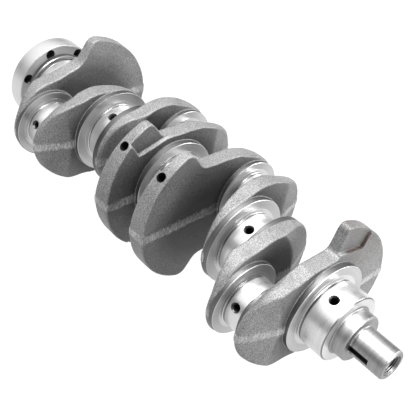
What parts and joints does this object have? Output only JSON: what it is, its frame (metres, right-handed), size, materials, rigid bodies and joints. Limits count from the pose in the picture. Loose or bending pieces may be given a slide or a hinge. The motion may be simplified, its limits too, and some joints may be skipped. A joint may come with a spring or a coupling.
{
  "type": "crankshaft",
  "caption": "Forged steel crankshaft for a small inline engine, with counterweights, drilled journals, keyed nose and flywheel flange.",
  "frame": {"origin": "centre of main journal 3, on the main bearing axis", "axes": "+X along the main bearing axis towards the nose; +Y towards the throw of crankpins 2 and 3; +Z normal to the plane of the throws"},
  "size_m": [0.4275, 0.143, 0.1298],
  "materials": {
    "forged_steel": "shot-blasted forging",
    "ground_steel": "ground and polished",
    "turned_steel": "fine turned"
  },
  "bodies": {
    "root": {"rear_flange": "turned_steel", "rear_shoulder": "turned_steel", "main_journal_1": "ground_steel", "main_journal_2": "ground_steel", "main_journal_3": "ground_steel", "main_journal_4": "ground_steel", "main_journal_5": "ground_steel", "crankpin_1": "ground_steel", "crankpin_2": "ground_steel", "crankpin_3": "ground_steel", "crankpin_4": "ground_steel", "web_1": "forged_steel", "web_2": "forged_steel", "web_3": "forged_steel", "web_4": "forged_steel", "web_5": "forged_steel", "web_6": "forged_steel", "web_7": "forged_steel", "web_8": "forged_steel", "gear_seat": "turned_steel", "nose": "turned_steel"}
  },
  "joints": []
}
